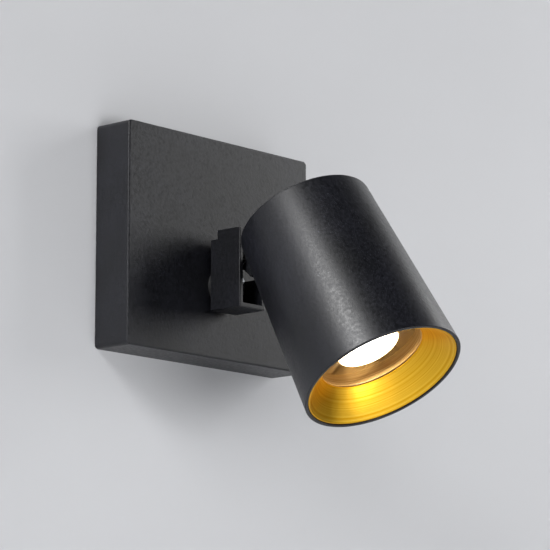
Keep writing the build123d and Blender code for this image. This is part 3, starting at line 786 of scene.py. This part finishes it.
def refined(node: str, name: str, material: bpy.types.Material) -> bpy.types.Object:
    """Copy a CAD node's mesh, join its loose triangles and shade it smooth.

    Args:
        node: The CAD node.
        name: Name of the piece.
        material: Its finish.

    Returns:
        The piece.
    """
    mesh = frame["nodes"][node].data.copy()
    mesh.name = name
    shape = bmesh.new()
    shape.from_mesh(mesh)
    bmesh.ops.remove_doubles(shape, verts=shape.verts, dist=MERGE)
    bmesh.ops.dissolve_degenerate(shape, edges=shape.edges, dist=MERGE / 10)
    bmesh.ops.dissolve_limit(
        shape,
        angle_limit=math.radians(FLAT_DEG),
        verts=shape.verts,
        edges=shape.edges,
        delimit={"NORMAL"},
    )
    shape.to_mesh(mesh)
    shape.free()
    smooth(mesh)
    piece = link(name, mesh, material)
    # flat faces keep flat shading where they run into a small rounding
    even = piece.modifiers.new("even_shading", "WEIGHTED_NORMAL")
    even.keep_sharp = True
    even.weight = 100
    return piece


def dress_nodes(body: Body, pieces: dict[str, str], finish: Finishes) -> None:
    """Refine CAD nodes and hand each over in the finish of its slot.

    Args:
        body: Body that they move with.
        pieces: CAD node to name of the piece.
        finish: Materials by slot name.
    """
    for node, name in pieces.items():
        slot = SLOT_OF[node]
        dress(refined(node, name, finish[slot]), body, slot, node)


# ------------------------------ Geometry Nodes trees


HEAD_SIDES, HEAD_STEPS, SHANK_SIDES = 40, 5, 24
PAN_POWER, PAN_CLOSING = 3.0, 0.2     # a pan head is a fifth narrower at its top
CUTTER_REACH = 2.4                    # slot cutter's length, in head radii
SLOT_TURN = 1.2                       # slots stand up to this many radians either way
RIB_FILLET, FILLET_STEPS = 0.35, 3    # rounding of a rib, as a share of its thickness


def screw_tree() -> Tree:
    """Build the tree that sets a slotted pan-head screw on every point.

    Returns:
        The tree. Its inputs are Head Radius, Head Height, Shank Radius, Shank Length, Slot Width,
        Seed and Material.
    """
    lengths = ("Head Radius", "Head Height", "Shank Radius", "Shank Length", "Slot Width")
    kinds = dict.fromkeys(lengths, "NodeSocketFloat")
    kinds |= {"Seed": "NodeSocketInt", "Material": "NodeSocketMaterial"}
    tree, given, output = tree_with_inputs("slotted_pan_head_screws", kinds)
    value = given.outputs

    def moved(mesh: Socket, height: Socket) -> Socket:
        """Move a mesh along the screw's axis.

        Args:
            mesh: The mesh.
            height: How far it moves.

        Returns:
            The moved mesh.
        """
        place = add(tree, "ShaderNodeCombineXYZ", {"Z": height}).outputs[0]
        return add(tree, "GeometryNodeTransform", {"Geometry": mesh, "Translation": place}).outputs[0]

    drum = add(
        tree,
        "GeometryNodeMeshCylinder",
        {
            "Vertices": HEAD_SIDES,
            "Side Segments": HEAD_STEPS,
            "Radius": value["Head Radius"],
            "Depth": value["Head Height"],
        },
    )
    head = moved(drum.outputs["Mesh"], maths(tree, "DIVIDE", value["Head Height"], 2.0))
    # the head's side closes in towards its top, as a pan head's does
    place = add(tree, "GeometryNodeInputPosition").outputs[0]
    parts = add(tree, "ShaderNodeSeparateXYZ", {0: place})
    share = maths(tree, "DIVIDE", parts.outputs["Z"], value["Head Height"])
    lift = maths(tree, "POWER", maths(tree, "MAXIMUM", share, 0.0), PAN_POWER)
    closing = maths(tree, "SUBTRACT", 1.0, maths(tree, "MULTIPLY", lift, PAN_CLOSING))
    new_place = add(
        tree,
        "ShaderNodeCombineXYZ",
        {
            "X": maths(tree, "MULTIPLY", parts.outputs["X"], closing),
            "Y": maths(tree, "MULTIPLY", parts.outputs["Y"], closing),
            "Z": parts.outputs["Z"],
        },
    )
    pan = add(
        tree,
        "GeometryNodeSetPosition",
        {"Geometry": head, "Position": new_place.outputs[0]},
    ).outputs[0]
    slot_size = add(
        tree,
        "ShaderNodeCombineXYZ",
        {
            "X": maths(tree, "MULTIPLY", value["Head Radius"], CUTTER_REACH),
            "Y": value["Slot Width"],
            "Z": value["Head Height"],
        },
    ).outputs[0]
    bar = add(tree, "GeometryNodeMeshCube", {"Size": slot_size})
    cutter = moved(bar.outputs["Mesh"], value["Head Height"])
    slotted = add(
        tree,
        "GeometryNodeMeshBoolean",
        {0: pan, 1: cutter},
        operation="DIFFERENCE",
    ).outputs["Mesh"]
    rod = add(
        tree,
        "GeometryNodeMeshCylinder",
        {"Vertices": SHANK_SIDES, "Radius": value["Shank Radius"], "Depth": value["Shank Length"]},
    )
    shank = moved(rod.outputs["Mesh"], maths(tree, "DIVIDE", value["Shank Length"], -2.0))
    both = add(tree, "GeometryNodeJoinGeometry")
    tree.links.new(slotted, both.inputs[0])
    tree.links.new(shank, both.inputs[0])
    turn = add(
        tree,
        "FunctionNodeRandomValue",
        {"Min": (0.0, 0.0, -SLOT_TURN), "Max": (0.0, 0.0, SLOT_TURN), "Seed": value["Seed"]},
        data_type="FLOAT_VECTOR",
    )
    copies = add(
        tree,
        "GeometryNodeInstanceOnPoints",
        {"Points": value["Geometry"], "Instance": both.outputs[0], "Rotation": turn.outputs[0]},
    )
    finish_tree(tree, copies.outputs[0], given, output)
    return tree


def rib_tree() -> Tree:
    """Build the tree that sets rounded ribs in a ring.

    Returns:
        The tree. Its inputs are Count, Inner Radius, Outer Radius, Thickness, Depth and Material; the
        ribs' tops lie in the local XY plane.
    """
    lengths = ("Inner Radius", "Outer Radius", "Thickness", "Depth")
    kinds = {"Count": "NodeSocketInt"} | dict.fromkeys(lengths, "NodeSocketFloat")
    kinds |= {"Material": "NodeSocketMaterial"}
    tree, given, output = tree_with_inputs("ring_of_ribs", kinds)
    value = given.outputs

    drop = maths(tree, "DIVIDE", value["Depth"], -2.0)
    ends = [
        add(tree, "ShaderNodeCombineXYZ", {"X": value[key], "Z": drop}).outputs[0]
        for key in ("Inner Radius", "Outer Radius")
    ]
    path = add(tree, "GeometryNodeCurvePrimitiveLine", {"Start": ends[0], "End": ends[1]}).outputs[0]
    section = add(
        tree,
        "GeometryNodeCurvePrimitiveQuadrilateral",
        {"Width": value["Depth"], "Height": value["Thickness"]},
    ).outputs[0]
    eased = add(
        tree,
        "GeometryNodeFilletCurve",
        {
            "Curve": section,
            "Count": FILLET_STEPS,
            "Radius": maths(tree, "MULTIPLY", value["Thickness"], RIB_FILLET),
        },
        mode="POLY",
    )
    rib = add(
        tree,
        "GeometryNodeCurveToMesh",
        {"Curve": path, "Profile Curve": eased.outputs[0], "Fill Caps": True},
    )
    spots = add(tree, "GeometryNodePoints", {"Count": value["Count"]}).outputs[0]
    index = add(tree, "GeometryNodeInputIndex").outputs[0]
    step = maths(tree, "DIVIDE", 2 * math.pi, value["Count"])
    turn = add(tree, "ShaderNodeCombineXYZ", {"Z": maths(tree, "MULTIPLY", index, step)}).outputs[0]
    copies = add(
        tree,
        "GeometryNodeInstanceOnPoints",
        {"Points": spots, "Instance": rib.outputs[0], "Rotation": turn},
    )
    finish_tree(tree, copies.outputs[0], given, output)
    return tree


# ------------------------------ sub-assemblies


@dataclass(frozen=True)
class ScrewSize:
    """Slotted pan-head screw, and the seed that turns its slot."""

    head_radius: float
    head_height: float
    shank_radius: float
    shank_length: float
    slot_width: float
    seed: int

    def values(self, material: bpy.types.Material) -> dict[str, object]:
        """Fill in the screw tree's inputs.

        Args:
            material: The screws' finish.

        Returns:
            Input name to value.
        """
        return {
            "Head Radius": self.head_radius * MM,
            "Head Height": self.head_height * MM,
            "Shank Radius": self.shank_radius * MM,
            "Shank Length": self.shank_length * MM,
            "Slot Width": self.slot_width * MM,
            "Seed": self.seed,
            "Material": material,
        }


@dataclass
class WallCover:
    """Folded sheet cover, with the two screws in its top."""

    screw_spacing: float = 44.0
    screw_reach: float = 9.0
    height: float = 100.0
    screw: ScrewSize = ScrewSize(3.75, 2.2, 2.0, 6.0, 1.4, 3)

    def build(self, finish: Finishes, screws: Tree) -> None:
        """Make and hand over the pieces.

        Args:
            finish: Materials by slot name.
            screws: The screw tree.
        """
        dress_nodes(Body.BASE, {"wall_cover": "cover_box"}, finish)
        half = self.screw_spacing / 2
        place = Matrix.Translation(Vector((0.0, -self.screw_reach, self.height / 2)) * MM)
        black = finish["black_screw"]
        carrier = points_mesh("cover_screw_places", [(-half, 0.0), (half, 0.0)])
        pair = grown("cover_screw_pair", screws, self.screw.values(black), carrier, place, black)
        dress(pair, Body.BASE, "black_screw", "cover_screws")


@dataclass
class SwivelBracket:
    """Square bracket with its foot, and the screw that the head tilts on."""

    def build(self, finish: Finishes) -> None:
        """Make and hand over the pieces.

        Args:
            finish: Materials by slot name.
        """
        pieces = {
            "hinge_bracket": "bracket_channel",
            "bracket_foot": "bracket_foot_block",
            "pivot_screw": "tilt_screw",
            "swivel_nipple": "swivel_tube",
        }
        dress_nodes(Body.SWIVEL, pieces, finish)


@dataclass
class LampHead:
    """Tapered head: spun shell, back cap with its screws, and the knuckle that carries it."""

    length: float = 87.0
    back_radius: float = 30.5
    front_radius: float = 36.0
    wall: float = 1.6
    rim_rounding: float = 0.5
    back_rounding: float = 1.5
    edge_rounding: float = 0.2
    rounding_steps: int = 8
    sides: int = 224
    cap_screw_radius: float = 25.85
    cap_screw_count: int = 3
    cap_screw: ScrewSize = ScrewSize(2.4, 1.4, 1.25, 7.0, 0.9, 5)
    cap_back: float = 0.4

    def build(self, finish: Finishes, screws: Tree) -> None:
        """Make and hand over the pieces.

        Args:
            finish: Materials by slot name.
            screws: The screw tree.
        """
        outline = rounded(
            [
                (self.back_radius - self.wall, 0.0, self.edge_rounding),
                (self.back_radius, 0.0, self.back_rounding),
                (self.front_radius, self.length, self.rim_rounding),
                (self.front_radius - self.wall, self.length, self.rim_rounding),
            ],
            self.rounding_steps,
        )
        shell = turned("spun_head", outline, HEAD_AXIS, finish["black_aluminium"], self.sides)
        dress(shell, Body.HEAD, "black_aluminium", "head_shell")
        dress_nodes(Body.HEAD, {"knuckle": "tilt_knuckle", "back_cap": "vented_cap"}, finish)
        spots = []
        for index in range(self.cap_screw_count):
            angle = math.radians(90 + 360 / self.cap_screw_count * index)
            spots.append((self.cap_screw_radius * math.cos(angle), -self.cap_screw_radius * math.sin(angle)))
        # the screws go in from the back, so they stand the other way round
        flipped = HEAD_AXIS.shifted(self.cap_back) @ Matrix.Rotation(math.pi, 4, "X")
        black = finish["black_screw"]
        carrier = points_mesh("cap_screw_places", spots)
        trio = grown("cap_screw_trio", screws, self.cap_screw.values(black), carrier, flipped, black)
        dress(trio, Body.HEAD, "black_screw", "cap_screws")
        pieces = {
            "lead_bush": "lead_grommet",
            "pivot_washers": "tilt_washers",
            "lamp_holder": "ceramic_holder",
        }
        dress_nodes(Body.HEAD, pieces, finish)


@dataclass
class TurnLockLamp:
    """Lamp: turned body with a rounded bezel, ring of ribs, domed lens."""

    radius: float = 25.0
    bezel: float = 1.4
    front: float = 74.0
    straight: float = 8.0
    rib_top: float = 70.4
    rib_depth: float = 6.0
    rib_count: int = 48
    rib_thickness: float = 1.0
    rib_overlap: float = 0.2         # ribs run this far into the hub, the wall and the floor
    hub_radius: float = 14.9
    lens_radius: float = LENS_RADIUS
    board_back: float = 66.8
    base_front: float = 44.0
    base_radius: float = 16.5
    bore_radius: float = 11.0
    lens_back: float = 68.3
    lens_edge: float = 70.7
    lens_crown: float = 1.3
    lens_play: float = 0.05
    base_rounding: float = 0.4
    shoulder_rounding: float = 2.0
    bezel_rounding: float = 0.65
    hub_rounding: float = 0.3
    seat_rounding: float = 0.2
    crown_steps: int = 14
    sides: int = 192
    lens_sides: int = 128

    def body_outline(self) -> list[tuple[float, float]]:
        """Draw the turned body.

        Returns:
            Its closed outline as (radius, run).
        """
        floor = self.rib_top - self.rib_depth
        inside = self.radius - self.bezel
        return rounded(
            [
                (self.bore_radius, self.base_front, 0),
                (self.base_radius, self.base_front, self.base_rounding),
                (self.radius, self.front - self.straight, self.shoulder_rounding),
                (self.radius, self.front, self.bezel_rounding),
                (inside, self.front, self.bezel_rounding),
                (inside, floor, 0),
                (self.hub_radius, floor, 0),
                (self.hub_radius, self.rib_top, self.hub_rounding),
                (self.lens_radius, self.rib_top, self.seat_rounding),
                (self.lens_radius, self.board_back, 0),
                (self.bore_radius, self.board_back, 0),
            ]
        )

    def lens_outline(self) -> list[tuple[float, float]]:
        """Draw the lens, with its crown as an arc of a circle.

        Returns:
            Its closed outline as (radius, run).
        """
        edge = self.lens_radius - self.lens_play
        ball = (edge ** 2 + self.lens_crown ** 2) / (2 * self.lens_crown)
        reach = math.asin(edge / ball)
        crown = []
        for step in range(self.crown_steps + 1):
            angle = reach * (1 - step / self.crown_steps)
            drop = ball * (1 - math.cos(angle))
            crown.append((ball * math.sin(angle), self.lens_edge + self.lens_crown - drop))
        crown[-1] = (0.0, self.lens_edge + self.lens_crown)
        return [(0.0, self.lens_back), (edge, self.lens_back), *crown]

    def build(self, finish: Finishes, ribs: Tree) -> None:
        """Make and hand over the pieces.

        Args:
            finish: Materials by slot name.
            ribs: The rib tree.
        """
        bronze = finish["bronze_aluminium"]
        body = turned("lamp_shell", self.body_outline(), HEAD_AXIS, bronze, self.sides)
        dress(body, Body.LAMP, "bronze_aluminium", "lamp_body")
        values = {
            "Count": self.rib_count,
            "Inner Radius": (self.hub_radius - self.rib_overlap) * MM,
            "Outer Radius": (self.radius - self.bezel + self.rib_overlap) * MM,
            "Thickness": self.rib_thickness * MM,
            "Depth": (self.rib_depth + self.rib_overlap) * MM,
            "Material": bronze,
        }
        start = points_mesh("rib_start", [(0, 0)])
        ring = grown("heat_sink_ribs", ribs, values, start, HEAD_AXIS.shifted(self.rib_top), bronze)
        dress(ring, Body.LAMP, "bronze_aluminium", "lamp_body")
        glass = finish["frosted_lens"]
        lens = turned("domed_lens", self.lens_outline(), HEAD_AXIS, glass, self.lens_sides)
        dress(lens, Body.LAMP, "frosted_lens", "lamp_lens")


@dataclass
class ReflectorInsert:
    """Gold cone of spun sheet in the mouth."""

    front: float = 86.5
    throat_run: float = 74.8
    throat_radius: float = 23.1
    mouth_radius: float = 33.62
    outside: tuple[float, float] = (34.22, 33.81)
    skirt_back: float = 80.0
    sheet: float = 0.8
    edge_rounding: float = 0.3
    rim_rounding: float = 0.25
    rounding_steps: int = 5
    sides: int = 224

    def build(self, finish: Finishes) -> None:
        """Make and hand over the pieces.

        Args:
            finish: Materials by slot name.
        """
        run = self.front - self.throat_run
        rise = self.mouth_radius - self.throat_radius
        slant = math.hypot(run, rise)
        back = (self.throat_radius + self.sheet * run / slant, self.throat_run - self.sheet * rise / slant)
        inside = self.outside[0] - self.sheet
        fold = back[1] + (inside - back[0]) * run / rise
        outline = rounded(
            [
                (self.throat_radius, self.throat_run, self.edge_rounding),
                (self.mouth_radius, self.front, self.rim_rounding),
                (self.outside[0], self.front, self.rim_rounding),
                (self.outside[1], self.skirt_back, 0),
                (self.outside[1] - self.sheet, self.skirt_back, 0),
                (inside, fold, 0),
                (*back, self.edge_rounding),
            ],
            self.rounding_steps,
        )
        cone = turned("spun_reflector", outline, HEAD_AXIS, finish["gold_aluminium"], self.sides)
        dress(cone, Body.INSERT, "gold_aluminium", "reflector_cone")


@dataclass
class HiddenPieces:
    """CAD nodes whose shape is right as it is: each only gets its finish."""

    def build(self, finish: Finishes) -> None:
        """Dress every CAD node that nothing has replaced.

        Args:
            finish: Materials by slot name.
        """
        for name, node in frame["nodes"].items():
            if node.hide_render:
                continue
            for slot in node.material_slots:
                slot.material = finish[SLOT_OF[name]]
            LOG.info("%s keeps its CAD mesh", name)


# ------------------------------ studio


@dataclass(frozen=True)
class SoftLight:
    """Rectangular soft light."""

    name: str
    place: tuple[float, float, float]
    aim: tuple[float, float, float]
    size: tuple[float, float]
    power: float

    def build(self) -> None:
        """Add the light to the scene."""
        data = bpy.data.lights.new(self.name, "AREA")
        data.shape = "RECTANGLE"
        data.size, data.size_y = self.size
        data.energy = self.power
        lamp = bpy.data.objects.new(self.name, data)
        lamp.location = self.place
        heading = Vector(self.aim) - Vector(self.place)
        lamp.rotation_euler = heading.to_track_quat("-Z", "Y").to_euler()
        bpy.context.scene.collection.objects.link(lamp)


@dataclass
class Studio:
    """Wall, floor, world, lights and camera."""

    wall_grey: str = "#d0d1d4"
    floor_grey: str = "#d8d8d8"
    cloud_grey: str = "#d4d5d8"
    cloud_mm: float = 180.0
    paint_roughness: float = 0.9
    wall_half: float = 2.5
    wall_gap: float = 0.0004
    floor_height: float = -0.6
    box_size: tuple[float, float] = (108.0, 90.0)    # opening behind the cover, in millimetres
    lights: tuple[SoftLight, ...] = (
        # streak down the head's left side
        SoftLight("softbox_left", (-1.3, -0.12, 0.8), (0.0, -0.08, 0.0), (0.8, 0.5), 34.0),
        # sheen on the cover and along the head's right edge
        SoftLight("softbox_right", (1.2, -0.42, 0.4), (0.0, -0.06, 0.0), (0.4, 0.8), 10.0),
        # the wall's brightness, from where the head doesn't mirror it
        SoftLight("front_low", (-0.3, -1.45, -0.3), (0.0, 0.0, 0.0), (1.2, 0.4), 9.5),
        # through the wall's opening, so that the cover's inside shows from behind
        SoftLight("behind", (0.35, 0.9, 0.35), (0.0, 0.0, 0.0), (0.4, 0.4), 14.0),
    )
    # camera fitted to the cover's corners and the head's outlines in the photograph
    camera_place: tuple[float, float, float] = (-0.964, -0.924, -0.259)
    camera_heading: tuple[float, float, float] = (0.7293, 0.6590, 0.1840)
    lens_mm: float = 196.36
    sensor_mm: float = 36.0
    near_clip: float = 0.05
    world_grey: str = "#c9cacc"
    world_strength: float = 0.05

    def see_through(self, name: str, code: str) -> bpy.types.Material:
        """Make a matt wall paint that isn't there when it is seen from behind.

        Args:
            name: The finish's name.
            code: Its colour.

        Returns:
            The material.
        """
        material, tree, shader = blank(name)
        colour_by(tree, shader, object_noise(tree, self.cloud_mm), (code, self.cloud_grey))
        shader.inputs["Roughness"].default_value = self.paint_roughness
        side = add(tree, "ShaderNodeNewGeometry")
        clear = add(tree, "ShaderNodeBsdfTransparent")
        mix = add(
            tree,
            "ShaderNodeMixShader",
            {0: side.outputs["Backfacing"], 1: shader.outputs[0], 2: clear.outputs[0]},
        )
        tree.links.new(mix.outputs[0], tree.nodes["Material Output"].inputs["Surface"])
        return material

    def sheet(
        self,
        name: str,
        corners: list[tuple[float, float, float]],
        faces: list[tuple[int, ...]],
        material: bpy.types.Material,
    ) -> None:
        """Add a flat stage sheet.

        Args:
            name: Its name.
            corners: Its corners.
            faces: Corner numbers of each face, anticlockwise seen from the front.
            material: Its finish.
        """
        mesh = bpy.data.meshes.new(name)
        mesh.from_pydata(corners, [], faces)
        link(name, mesh, material)

    def wall(self) -> None:
        """Add the wall, open behind the cover as over a junction box, so that light from behind gets in."""
        half, bottom, gap = self.wall_half, self.floor_height, self.wall_gap
        wide, high = self.box_size[0] / 2 * MM, self.box_size[1] / 2 * MM
        outer = [(-half, gap, bottom), (half, gap, bottom), (half, gap, half), (-half, gap, half)]
        inner = [(-wide, gap, -high), (wide, gap, -high), (wide, gap, high), (-wide, gap, high)]
        sides = [(i, (i + 1) % 4, (i + 1) % 4 + 4, i + 4) for i in range(4)]
        self.sheet("wall_sheet", outer + inner, sides, self.see_through("matt_wall_paint", self.wall_grey))

    def build(self) -> None:
        """Set the stage."""
        self.wall()
        half, bottom = self.wall_half, self.floor_height
        self.sheet(
            "floor_sheet",
            [(-half, -half, bottom), (half, -half, bottom), (half, half, bottom), (-half, half, bottom)],
            [(0, 1, 2, 3)],
            self.see_through("matt_floor", self.floor_grey),
        )
        world = bpy.data.worlds.new("grey_room")
        world.use_nodes = True
        backdrop = world.node_tree.nodes["Background"]
        backdrop.inputs["Color"].default_value = linear(self.world_grey)
        backdrop.inputs["Strength"].default_value = self.world_strength
        bpy.context.scene.world = world
        for light in self.lights:
            light.build()
        data = bpy.data.cameras.new("photo_camera")
        data.lens = self.lens_mm
        data.sensor_width = self.sensor_mm
        data.clip_start = self.near_clip
        camera = bpy.data.objects.new("photo_camera", data)
        camera.location = self.camera_place
        camera.rotation_euler = Vector(self.camera_heading).to_track_quat("-Z", "Y").to_euler()
        bpy.context.scene.collection.objects.link(camera)
        bpy.context.scene.camera = camera
        bpy.context.scene.view_settings.view_transform = "Standard"


def main() -> None:
    """Build the light and its studio."""
    logging.basicConfig(level=logging.INFO, format="%(name)s: %(message)s")
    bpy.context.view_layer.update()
    finish = finishes()
    screws = screw_tree()
    WallCover().build(finish, screws)
    SwivelBracket().build(finish)
    LampHead().build(finish, screws)
    TurnLockLamp().build(finish, rib_tree())
    ReflectorInsert().build(finish)
    HiddenPieces().build(finish)
    Studio().build()


if __name__ == "__main__":
    main()
